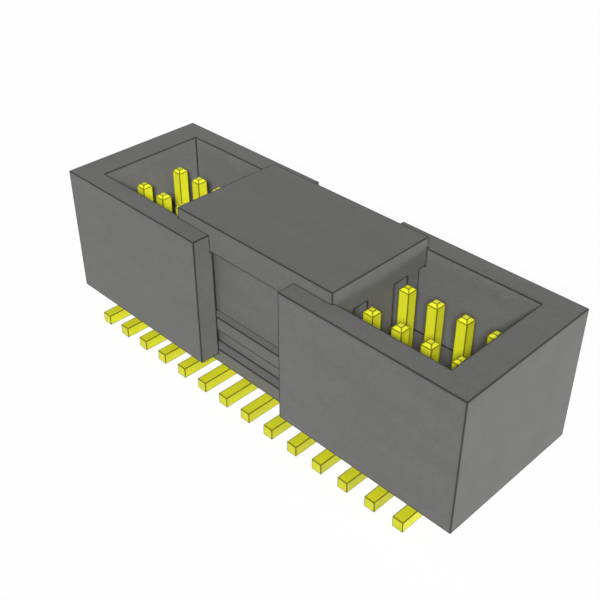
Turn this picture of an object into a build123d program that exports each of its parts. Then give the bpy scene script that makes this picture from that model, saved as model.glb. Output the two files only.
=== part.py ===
from build123d import *

import os

os.makedirs("parts", exist_ok=True)

# A surface-mount board-to-board header: a notched shroud over a double row of bent contacts,
# with a removable pad that a placing nozzle picks it up by.
# X runs along the rows, Y across them with the front at minus Y, and Z is up.
# The origin lies on the board under the middle of the housing. Lengths are in millimetres.

# Contact field
columns = 14
pitch = 1.27
row_spacing = 1.905

# Contact, one length of square wire
wire = 0.46
tip_chamfer = 0.118
bend_inner_radius = 0.127
bend_to_base = 0.013
foot_overhang = 0.33

# Housing, from the board upwards
base_thickness = 2.23
base_drop = 0.4
pocket_depth = 3.78
tip_recess = 0.76
end_margin = 1.88
side_margin = 2.3375
end_wall = 1.26
side_wall = 0.875
notch_width = 4.42

# Undercut groove in the base behind each notch
lip_thickness = 0.62
groove_height = 0.975
groove_depth = 0.42
groove_past_notch = 0.64

# Pick-and-place pad
pad_length = 8.03
pad_rise = 0.45
plate_let_in = 0.09
skirt_to_wall = 0.315
skirt_to_contact = 0.2575
rib_lead_in = 0.15

# Fits
hole_clearance = 0.01
rib_clearance = 0.01
tip_clearance = 0.01
seat_clearance = 0.01

# Heights above the board
base_bottom = wire + bend_inner_radius + bend_to_base
wall_bottom = base_bottom + base_drop
floor_height = base_bottom + base_thickness
rim_height = floor_height + pocket_depth
tip_height = rim_height - tip_recess
groove_top = floor_height - lip_thickness
plate_bottom = tip_height + tip_clearance
seat_bottom = plate_bottom - seat_clearance
plate_top = rim_height + pad_rise

# Plan sizes
housing_length = (columns - 1) * pitch + 2 * end_margin
housing_width = row_spacing + 2 * side_margin
pocket_length = housing_length - 2 * end_wall
pocket_width = housing_width - 2 * side_wall
foot_end = housing_width / 2 + foot_overhang
hole_side = wire + 2 * hole_clearance
seat_depth = plate_let_in + seat_clearance


def build_contact(column, side):
    """Bends one contact; side is -1 in the front row and 1 in the rear row."""
    x = (column - (columns - 1) / 2) * pitch
    row_y = side * row_spacing / 2
    with BuildPart() as contact:
        with BuildLine(Plane.YZ.offset(x)):
            FilletPolyline(
                (row_y, tip_height),
                (row_y, wire / 2),
                (side * foot_end, wire / 2),
                radius=bend_inner_radius + wire / 2,
            )
        with BuildSketch(Plane((x, row_y, tip_height))):
            Rectangle(wire, wire)
        sweep()
        tip = contact.faces().sort_by(Axis.Z)[-1]
        chamfer(tip.edges(), length=tip_chamfer)
    return contact.part


# Housing
with BuildPart() as housing:
    # Walls and base as one block
    with BuildSketch(Plane.XY.offset(wall_bottom)):
        Rectangle(housing_length, housing_width)
    extrude(amount=rim_height - wall_bottom)

    # Pocket for the mating socket
    with BuildSketch(Plane.XY.offset(floor_height)):
        Rectangle(pocket_length, pocket_width)
    extrude(amount=pocket_depth, mode=Mode.SUBTRACT)

    # Lower part of the base, between the walls
    with BuildSketch(Plane.XY.offset(base_bottom)):
        Rectangle(pocket_length, pocket_width)
    extrude(amount=base_drop)

    # Notch through the middle of both side walls
    with BuildSketch(Plane.XY.offset(wall_bottom)):
        with GridLocations(0, pocket_width + side_wall, 1, 2):
            Rectangle(notch_width, side_wall)
    extrude(amount=rim_height - wall_bottom, mode=Mode.SUBTRACT)

    # Groove under the lip of the floor, running on behind the walls
    with BuildSketch(Plane.XY.offset(groove_top)):
        with GridLocations(0, pocket_width - groove_depth, 1, 2):
            Rectangle(notch_width + 2 * groove_past_notch, groove_depth)
    extrude(amount=-groove_height, mode=Mode.SUBTRACT)

    # Seat for the pad's plate, let into the side walls beside the notches
    with BuildSketch(Plane.XY.offset(seat_bottom)):
        Rectangle(pad_length + 2 * seat_clearance, pocket_width + 2 * seat_depth)
    extrude(amount=rim_height - seat_bottom, mode=Mode.SUBTRACT)

    # Square holes that hold the contacts
    with BuildSketch(Plane.XY.offset(base_bottom)):
        with GridLocations(pitch, row_spacing, columns, 2):
            Rectangle(hole_side, hole_side)
    extrude(amount=base_thickness, mode=Mode.SUBTRACT)

housing.part.label = "housing"
export_step(housing.part, "parts/housing.step")


# Pick-and-place pad, one section along its whole length:
# a plate on a rib that grips between the rows, and a skirt outside each row
with BuildPart() as pick_and_place_pad:
    plate_half = pocket_width / 2 + plate_let_in
    rib_half = (row_spacing - wire) / 2 - rib_clearance
    skirt_inside = (row_spacing + wire) / 2 + skirt_to_contact
    skirt_outside = pocket_width / 2 - skirt_to_wall
    with BuildSketch(Plane.YZ):
        with BuildLine():
            Polyline(
                (0, plate_top),
                (plate_half, plate_top),
                (plate_half, plate_bottom),
                (skirt_outside, plate_bottom),
                (skirt_outside, floor_height),
                (skirt_inside, floor_height),
                (skirt_inside, plate_bottom),
                (rib_half, plate_bottom),
                (rib_half, floor_height + rib_lead_in),
                (rib_half - rib_lead_in, floor_height),
                (0, floor_height),
            )
            mirror(about=Plane.YZ)
        make_face()
    extrude(amount=pad_length / 2, both=True)

pick_and_place_pad.part.label = "pick_and_place_pad"
export_step(pick_and_place_pad.part, "parts/pick_and_place_pad.step")


# Contacts, numbered along X in each row
for row_name, side in (("front", -1), ("rear", 1)):
    for column in range(columns):
        contact = build_contact(column, side)
        contact.label = f"contact_{row_name}_{column + 1:02d}"
        export_step(contact, f"parts/{contact.label}.step")
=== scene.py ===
"""The looks of the board-to-board header: grey plastic, plated contacts, a pale floor and soft light."""
import math

import bpy
from mathutils import Matrix, Vector


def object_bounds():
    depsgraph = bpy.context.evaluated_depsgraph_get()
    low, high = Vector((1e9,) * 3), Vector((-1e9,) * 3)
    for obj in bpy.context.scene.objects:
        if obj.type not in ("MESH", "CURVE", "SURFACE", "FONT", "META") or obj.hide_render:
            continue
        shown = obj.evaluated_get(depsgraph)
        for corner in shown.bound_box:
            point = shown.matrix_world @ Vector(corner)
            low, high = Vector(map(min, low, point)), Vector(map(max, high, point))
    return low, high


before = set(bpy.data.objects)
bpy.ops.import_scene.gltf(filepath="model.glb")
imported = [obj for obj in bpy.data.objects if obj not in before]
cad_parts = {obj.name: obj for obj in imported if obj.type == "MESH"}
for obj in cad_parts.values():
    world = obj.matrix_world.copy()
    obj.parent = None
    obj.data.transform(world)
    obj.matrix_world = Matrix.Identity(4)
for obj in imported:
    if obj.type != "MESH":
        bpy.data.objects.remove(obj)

cad_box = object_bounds()
OBJECT_MIDDLE = (Vector(cad_box[0]) + Vector(cad_box[1])) / 2

MM = 0.001

# Rounded edges, with the radii that a mould and a wire die leave
MOULDED_EDGE_MM = 0.018
WIRE_EDGE_MM = 0.012
EDGE_SEGMENTS = 3
MERGE_MM = 0.0005
FLAT_ANGLE_DEG = 0.5
EDGE_ANGLE_DEG = 25.0
SMOOTH_ANGLE_DEG = 40.0
FACE_AREA_WEIGHT = 100
# The face attribute that tells the materials how wide a face is
WIDTH_NAME = "face_width"

# Painted shade on edges and in inner corners. How far round a point the surface is felt out: on plastic,
# on wire and in inner corners
MOULDED_REACH_MM = 0.095
WIRE_REACH_MM = 0.075
CREVICE_MM = 0.07
# Rays that each point sends out for it
EDGE_SAMPLES = 16
# The tone of the painted shade, as a share of an open face's
EDGE_SHADE = 0.24
# How well the surface round a point faces the same way, where it is fully dark and where it is open
DARK_AGREEMENT = 0.985
OPEN_AGREEMENT = 0.999
# The open share of what lies round a point in an inner corner, where it is fully dark
DARK_OPENNESS = 0.5

# Colours, linear
HOUSING_GREY = (0.148, 0.1475, 0.1445, 1.0)
PAD_GREY = (0.144, 0.1435, 0.1405, 1.0)
PLATING_YELLOW = (0.88, 0.886, 0.031, 1.0)
PLATING_SHEEN = (1.0, 0.92, 0.35, 1.0)
FLOOR_WHITE = (0.95, 0.95, 0.95, 1.0)
BACKGROUND_WHITE = (1.0, 1.0, 1.0, 1.0)

# Noise. Its scale is in features a millimetre, once the coordinates are stretched
GRAIN = {"scale": 7.5, "detail": 3.0, "roughness": 0.62}
PITS = {"scale": 24.0, "detail": 1.0, "roughness": 0.5}
FLOW_MARKS = {"scale": 1.0, "detail": 3.0, "roughness": 0.55}
FLOW_STRETCH = (0.22, 0.9, 0.9)
DRAWN_LINES = {"scale": 1.0, "detail": 2.0, "roughness": 0.5}
POST_STRETCH = (28.0, 28.0, 0.7)
FOOT_STRETCH = (28.0, 0.7, 28.0)
PLATING_CLOUDS = {"scale": 1.3, "detail": 2.0, "roughness": 0.5}
PAPER_FIBRES = {"scale": 2.5, "detail": 3.0, "roughness": 0.5}
# The range in which most of a noise lies, and the one in which nearly all of it does
MOST_NOISE = (0.3, 0.7)
NEARLY_ALL_NOISE = (0.25, 0.75)

# Plastic. Tones are shares of the colour, from low to high noise
FLOW_TONES = (0.94, 1.06)
GRAIN_TONES = (0.93, 1.07)
PIT_SHARE = 0.4
PLASTIC_BUMP = 0.6
PLASTIC_BUMP_MM = 0.02
PLASTIC_ROUGHNESS = (0.64, 0.78)
PLASTIC_IOR = 1.5
PLASTIC_SPECULAR = 0.2

# Plating. The feet get painted shade, a duller tone that offsets the extra light they catch outside the
# pockets. They turn into posts between two heights
PLATING_TONES = (0.96, 1.03)
FOOT_PAINTED_SHADE = 0.76
POST_START_MM = (0.45, 0.6)
PLATING_BUMP = 0.25
PLATING_BUMP_MM = 0.003
PLATING_ROUGHNESS = (0.3, 0.42)
PLATING_METALLIC = 0.12
PLATING_SPECULAR = 0.3

# Floor and surround. The floor glows where it is seen, and throws back a share of its colour elsewhere
FLOOR_SIDE_MM = 900.0
FLOOR_DROP_MM = 0.002
FLOOR_GLOW = 0.88
FLOOR_BOUNCE = 0.3
FIBRE_TONES = (0.985, 1.0)
WORLD_LEVEL = 0.05

# Lamps. Name, distance in millimetres and direction from the object's middle, as azimuth and elevation in
# degrees, and level on a surface there that faces the lamp
LAMPS = (
    ("lamp_by_camera", 55.0, 42.0, 35.3, 1.31),
    ("lamp_low_front", 300.0, 16.0, 4.0, 0.13),
    ("lamp_right_end", 65.0, 103.0, 1.5, 0.63),
    ("lamp_rear", 300.0, 176.0, 4.0, 0.5),
    ("lamp_left_end", 300.0, 274.0, 4.0, 0.5),
)
# How wide each lamp looks from there, and the energy that gives a level of 1 when it doesn't fade
LAMP_ANGLE_DEG = 8.0
WATTS_PER_LEVEL = math.pi ** 2

# Camera, in the object's own frame
CAMERA_EYE_MM = (21.444, -21.401, 24.938)
CAMERA_FORWARD = (-0.57816, 0.57691, -0.57699)
CAMERA_RIGHT = (0.70647, 0.70774, -0.00025)
FOCAL_PIXELS = 956.466
PICTURE_PIXELS = 600
SENSOR_MM = 36.0
CLIP_START_MM = 0.5
CLIP_END_MM = 10000.0


class Nodes:
    """Adds and joins the nodes of one tree: a material's, a world's, a lamp's or a geometry group's."""

    def __init__(self, tree):
        self.tree = tree
        tree.nodes.clear()

    def add(self, kind, values=None, **settings):
        """A node of that kind, with those settings.

        values sets its inputs, by name or number, each to a number or to another node's output.
        """
        node = self.tree.nodes.new(kind)
        for name, setting in settings.items():
            setattr(node, name, setting)
        for key, value in (values or {}).items():
            if isinstance(value, bpy.types.NodeSocket):
                self.tree.links.new(value, node.inputs[key])
            else:
                node.inputs[key].default_value = value
        return node

    def math(self, operation, first, second=0.0):
        """What the operation makes of the two values."""
        return self.add("ShaderNodeMath", {0: first, 1: second}, operation=operation).outputs[0]

    def stretch(self, point, factors):
        """The point's coordinates, each times its factor."""
        return self.add("ShaderNodeVectorMath", {0: point, 1: factors}, operation="MULTIPLY").outputs[0]

    def noise(self, point, scale, detail, roughness):
        """Noise from 0 to 1, with scale features in each unit of the point."""
        values = {"Vector": point, "Scale": scale, "Detail": detail, "Roughness": roughness}
        return self.add("ShaderNodeTexNoise", values).outputs[0]

    def between(self, value, low, high, to_low, to_high):
        """value from low to high, read as to_low to to_high and held there outside."""
        values = {0: value, 1: low, 2: high, 3: to_low, 4: to_high}
        return self.add("ShaderNodeMapRange", values).outputs[0]


def millimetres(shader):
    """Where a surface point lies on the object, in millimetres."""
    place = shader.add("ShaderNodeTexCoord").outputs["Object"]
    return shader.stretch(place, (1 / MM,) * 3)


def painted_edge_shade(shader, edge_mm, reach_mm):
    """Painted shade: 1 on open faces, down to the shade on rounded edges, close beside them and in inner
    corners.
    """
    # Painted dark lines on the rounded edge strips
    width = shader.add("ShaderNodeAttribute", attribute_name=WIDTH_NAME).outputs["Fac"]
    narrow = shader.math("LESS_THAN", width, edge_mm)
    rounded = shader.between(narrow, 0.0, 1.0, 1.0, EDGE_SHADE)

    # Painted shade close beside edges, where the surface round a point turns another way
    reach = {"Radius": reach_mm * MM}
    around = shader.add("ShaderNodeBevel", reach, samples=EDGE_SAMPLES).outputs["Normal"]
    here = shader.add("ShaderNodeNewGeometry").outputs["Normal"]
    normals = {0: around, 1: here}
    agreement = shader.add("ShaderNodeVectorMath", normals, operation="DOT_PRODUCT").outputs["Value"]
    beside = shader.between(agreement, DARK_AGREEMENT, OPEN_AGREEMENT, EDGE_SHADE, 1.0)

    # Painted shade in inner corners, darker where less of the surface round a point is open
    crevice = {"Distance": CREVICE_MM * MM}
    corners = shader.add("ShaderNodeAmbientOcclusion", crevice, samples=EDGE_SAMPLES, only_local=True)
    inner = shader.between(corners.outputs["AO"], DARK_OPENNESS, 1.0, EDGE_SHADE, 1.0)
    return shader.math("MINIMUM", shader.math("MINIMUM", rounded, beside), inner)


def shaded(shader, colour, factor):
    """The colour times the factor, as a socket."""
    return shader.add("ShaderNodeVectorMath", {0: colour[:3], 1: factor}, operation="MULTIPLY").outputs[0]


def moulded_plastic(name, grey):
    """Fine eroded grain, faint clouds where the melt flowed along the part, painted shade on edges and
    corners.
    """
    material = bpy.data.materials.new(name)
    material.use_nodes = True
    shader = Nodes(material.node_tree)
    point = millimetres(shader)
    grain = shader.noise(point, **GRAIN)
    pits = shader.noise(point, **PITS)
    flow = shader.noise(shader.stretch(point, FLOW_STRETCH), **FLOW_MARKS)

    cloud = shader.between(flow, *NEARLY_ALL_NOISE, *FLOW_TONES)
    speck = shader.between(grain, *MOST_NOISE, *GRAIN_TONES)
    # Painted shade on edges and in inner corners
    edges = painted_edge_shade(shader, MOULDED_EDGE_MM, MOULDED_REACH_MM)
    tone = shader.math("MULTIPLY", shader.math("MULTIPLY", cloud, speck), edges)
    colour = shaded(shader, grey, tone)

    height = shader.math("ADD", grain, shader.math("MULTIPLY", pits, PIT_SHARE))
    relief = {"Strength": PLASTIC_BUMP, "Distance": PLASTIC_BUMP_MM * MM, "Height": height}
    surface = shader.add("ShaderNodeBsdfPrincipled", {
        "Base Color": colour,
        "Roughness": shader.between(grain, *MOST_NOISE, *PLASTIC_ROUGHNESS),
        "IOR": PLASTIC_IOR,
        "Specular IOR Level": PLASTIC_SPECULAR,
        "Normal": shader.add("ShaderNodeBump", relief).outputs[0],
    })
    shader.add("ShaderNodeOutputMaterial", {0: surface.outputs[0]})
    return material


def contact_plating(name):
    """Bright plating over drawn wire: fine lines along post and foot; painted shade on feet, edges,
    corners.
    """
    material = bpy.data.materials.new(name)
    material.use_nodes = True
    shader = Nodes(material.node_tree)
    point = millimetres(shader)
    post_lines = shader.noise(shader.stretch(point, POST_STRETCH), **DRAWN_LINES)
    foot_lines = shader.noise(shader.stretch(point, FOOT_STRETCH), **DRAWN_LINES)
    height_mm = shader.add("ShaderNodeSeparateXYZ", {0: point}).outputs["Z"]
    on_post = shader.between(height_mm, *POST_START_MM, 0.0, 1.0)
    both = {0: on_post, 2: foot_lines, 3: post_lines}
    lines = shader.add("ShaderNodeMix", both, data_type="FLOAT").outputs[0]
    clouds = shader.noise(point, **PLATING_CLOUDS)

    line_tone = shader.between(lines, *MOST_NOISE, *PLATING_TONES)
    cloud_tone = shader.between(clouds, *MOST_NOISE, *PLATING_TONES)
    tone = shader.math("MULTIPLY", line_tone, cloud_tone)
    # Painted shade on the feet: a duller tone that offsets the extra light they catch outside the pockets
    tone = shader.math("MULTIPLY", tone, shader.between(on_post, 0.0, 1.0, FOOT_PAINTED_SHADE, 1.0))
    # Painted shade on edges and in inner corners
    tone = shader.math("MULTIPLY", tone, painted_edge_shade(shader, WIRE_EDGE_MM, WIRE_REACH_MM))
    colour = shaded(shader, PLATING_YELLOW, tone)

    relief = {"Strength": PLATING_BUMP, "Distance": PLATING_BUMP_MM * MM, "Height": lines}
    surface = shader.add("ShaderNodeBsdfPrincipled", {
        "Base Color": colour,
        "Metallic": PLATING_METALLIC,
        "Specular IOR Level": PLATING_SPECULAR,
        "Specular Tint": PLATING_SHEEN,
        "Roughness": shader.between(lines, *NEARLY_ALL_NOISE, *PLATING_ROUGHNESS),
        "Normal": shader.add("ShaderNodeBump", relief).outputs[0],
    })
    shader.add("ShaderNodeOutputMaterial", {0: surface.outputs[0]})
    return material


def mesh_group(name):
    """A geometry node group with one mesh in and one mesh out, its helper and the mesh that comes in."""
    group = bpy.data.node_groups.new(name, "GeometryNodeTree")
    group.interface.new_socket("Geometry", in_out="INPUT", socket_type="NodeSocketGeometry")
    group.interface.new_socket("Geometry", in_out="OUTPUT", socket_type="NodeSocketGeometry")
    tree = Nodes(group)
    return group, tree, tree.add("NodeGroupInput").outputs[0]


def outer_edge_finder():
    """Gives the edges that stick out their bevel weight, so that inner corners stay sharp."""
    group, tree, mesh = mesh_group("outer_edge_finder")
    angle = tree.add("GeometryNodeInputMeshEdgeAngle").outputs["Signed Angle"]
    sticks_out = tree.math("GREATER_THAN", angle, math.radians(EDGE_ANGLE_DEG))
    values = {"Geometry": mesh, "Name": "bevel_weight_edge", "Value": sticks_out}
    marked = tree.add("GeometryNodeStoreNamedAttribute", values, data_type="FLOAT", domain="EDGE")
    tree.add("NodeGroupOutput", {0: marked.outputs[0]})
    return group


def edge_finisher():
    """Shades rounded edges as curves, and keeps each face's width, by which a rounded edge is known."""
    group, tree, mesh = mesh_group("edge_finisher")
    angle = tree.add("GeometryNodeInputMeshEdgeAngle").outputs["Unsigned Angle"]
    gentle = tree.math("LESS_THAN", angle, math.radians(SMOOTH_ANGLE_DEG))
    values = {"Geometry": mesh, "Shade Smooth": gentle}
    smooth = tree.add("GeometryNodeSetShadeSmooth", values, domain="EDGE")

    ends = tree.add("GeometryNodeInputMeshEdgeVertices").outputs
    points = {0: ends["Position 1"], 1: ends["Position 2"]}
    length = tree.add("ShaderNodeVectorMath", points, operation="DISTANCE").outputs["Value"]
    averaged = tree.add("GeometryNodeFieldOnDomain", {0: length}, data_type="FLOAT", domain="EDGE")
    sides = tree.add("GeometryNodeInputMeshFaceNeighbors").outputs["Vertex Count"]
    outline = tree.math("MULTIPLY", averaged.outputs[0], sides)
    area = tree.add("GeometryNodeInputMeshFaceArea").outputs[0]
    # A strip is as wide as its area over half its outline, and the width is kept in millimetres
    values = {
        "Geometry": smooth.outputs[0],
        "Name": WIDTH_NAME,
        "Value": tree.math("DIVIDE", area, tree.math("MULTIPLY", outline, MM / 2)),
    }
    measured = tree.add("GeometryNodeStoreNamedAttribute", values, data_type="FLOAT", domain="FACE")
    tree.add("NodeGroupOutput", {0: measured.outputs[0]})
    return group


def round_edges(node, width_mm, find_edges, finish_edges):
    """Breaks the node's outer edges, as a mould or a wire die leaves them."""
    weld = node.modifiers.new("join_faces", "WELD")
    weld.merge_threshold = MERGE_MM * MM
    flat = node.modifiers.new("merge_flat_faces", "DECIMATE")
    flat.decimate_type = "DISSOLVE"
    flat.angle_limit = math.radians(FLAT_ANGLE_DEG)
    node.modifiers.new("find_outer_edges", "NODES").node_group = find_edges
    bevel = node.modifiers.new("round_outer_edges", "BEVEL")
    bevel.width = width_mm * MM
    bevel.segments = EDGE_SEGMENTS
    bevel.limit_method = "WEIGHT"
    node.modifiers.new("finish_edges", "NODES").node_group = finish_edges
    normals = node.modifiers.new("even_shading", "WEIGHTED_NORMAL")
    normals.weight = FACE_AREA_WEIGHT
    normals.keep_sharp = True


def dress(nodes):
    """Gives each CAD node its material and its broken edges."""
    housing_plastic = moulded_plastic("housing_plastic_look", HOUSING_GREY)
    pad_plastic = moulded_plastic("pad_plastic_look", PAD_GREY)
    plating = contact_plating("contact_plating_look")
    find_edges = outer_edge_finder()
    finish_edges = edge_finisher()
    for name, node in nodes.items():
        if name == "housing":
            look, edge_mm = housing_plastic, MOULDED_EDGE_MM
        elif name == "pick_and_place_pad":
            look, edge_mm = pad_plastic, MOULDED_EDGE_MM
        else:
            look, edge_mm = plating, WIRE_EDGE_MM
        node.material_slots[0].material = look
        round_edges(node, edge_mm, find_edges, finish_edges)


def seen_directly(shader):
    """1 for a ray that shows the background: from the camera, a reflection or a refraction."""
    path = shader.add("ShaderNodeLightPath").outputs
    direct = shader.math("MAXIMUM", path["Is Camera Ray"], path["Is Glossy Ray"])
    return shader.math("MAXIMUM", direct, path["Is Transmission Ray"])


def add_floor():
    """A pale sheet that keeps the object's shadow and runs out into the white behind it."""
    half = FLOOR_SIDE_MM * MM / 2
    mesh = bpy.data.meshes.new("floor")
    height = -FLOOR_DROP_MM * MM
    corners = [(x * half, y * half, height) for x, y in ((-1, -1), (1, -1), (1, 1), (-1, 1))]
    mesh.from_pydata(corners, [], [(0, 1, 2, 3)])
    floor = bpy.data.objects.new("floor", mesh)
    bpy.context.scene.collection.objects.link(floor)

    material = bpy.data.materials.new("floor_paper")
    material.use_nodes = True
    shader = Nodes(material.node_tree)
    fibres = shader.noise(millimetres(shader), **PAPER_FIBRES)
    tone = shader.between(fibres, *MOST_NOISE, *FIBRE_TONES)
    direct = seen_directly(shader)
    level = shader.math("MULTIPLY", tone, shader.between(direct, 0.0, 1.0, FLOOR_BOUNCE, 1.0))
    paper = shader.add("ShaderNodeBsdfDiffuse", {"Color": shaded(shader, FLOOR_WHITE, level)})
    glow = shader.add("ShaderNodeEmission", {"Color": BACKGROUND_WHITE, "Strength": 1.0})
    share = shader.math("MULTIPLY", direct, FLOOR_GLOW)
    mix = shader.add("ShaderNodeMixShader", {0: share, 1: paper.outputs[0], 2: glow.outputs[0]})
    shader.add("ShaderNodeOutputMaterial", {0: mix.outputs[0]})
    mesh.materials.append(material)


def light_world():
    """An even pale surround, seen as plain white."""
    world = bpy.data.worlds.new("surround")
    world.use_nodes = True
    shader = Nodes(world.node_tree)
    level = shader.between(seen_directly(shader), 0.0, 1.0, WORLD_LEVEL, 1.0)
    background = shader.add("ShaderNodeBackground", {"Color": BACKGROUND_WHITE, "Strength": level})
    shader.add("ShaderNodeOutputWorld", {0: background.outputs[0]})
    bpy.context.scene.world = world


def keep_level(data, distance):
    """Lights a flat face evenly all over.

    The light doesn't fade with distance. It grows with it instead, by what a flat face loses to the slant.
    """
    data.use_nodes = True
    shader = Nodes(data.node_tree)
    length = shader.add("ShaderNodeLightPath").outputs["Ray Length"]
    gain = shader.math("DIVIDE", length, distance)
    steady = shader.add("ShaderNodeLightFalloff", {"Strength": gain}).outputs["Constant"]
    glow = shader.add("ShaderNodeEmission", {"Strength": steady})
    shader.add("ShaderNodeOutputLight", {0: glow.outputs[0]})


def add_lamp(name, distance_mm, azimuth_deg, elevation_deg, level):
    """A square soft box that faces the object. Azimuth 0 is the front and 90 the right end."""
    azimuth, elevation = math.radians(azimuth_deg), math.radians(elevation_deg)
    away = Vector((
        math.sin(azimuth) * math.cos(elevation),
        -math.cos(azimuth) * math.cos(elevation),
        math.sin(elevation),
    ))
    distance = distance_mm * MM
    data = bpy.data.lights.new(name, "AREA")
    data.size = 2 * distance * math.tan(math.radians(LAMP_ANGLE_DEG / 2))
    data.energy = level * WATTS_PER_LEVEL
    keep_level(data, distance)
    lamp = bpy.data.objects.new(name, data)
    lamp.location = OBJECT_MIDDLE + away * distance
    lamp.rotation_mode = "QUATERNION"
    lamp.rotation_quaternion = (-away).to_track_quat("-Z", "Y")
    lamp.visible_camera = False
    bpy.context.scene.collection.objects.link(lamp)


def add_camera():
    """The camera stands where the photograph was taken from."""
    data = bpy.data.cameras.new("camera")
    data.sensor_width = SENSOR_MM
    data.lens = FOCAL_PIXELS * SENSOR_MM / PICTURE_PIXELS
    data.clip_start = CLIP_START_MM * MM
    data.clip_end = CLIP_END_MM * MM
    forward = Vector(CAMERA_FORWARD).normalized()
    right = Vector(CAMERA_RIGHT)
    right = (right - forward * right.dot(forward)).normalized()
    up = right.cross(forward)
    camera = bpy.data.objects.new("camera", data)
    turn = Matrix((right, up, -forward)).transposed().to_4x4()
    camera.matrix_world = Matrix.Translation(Vector(CAMERA_EYE_MM) * MM) @ turn
    bpy.context.scene.collection.objects.link(camera)
    bpy.context.scene.camera = camera


dress(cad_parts)
add_floor()
light_world()
for lamp in LAMPS:
    add_lamp(*lamp)
add_camera()
bpy.context.scene.view_settings.view_transform = "Standard"
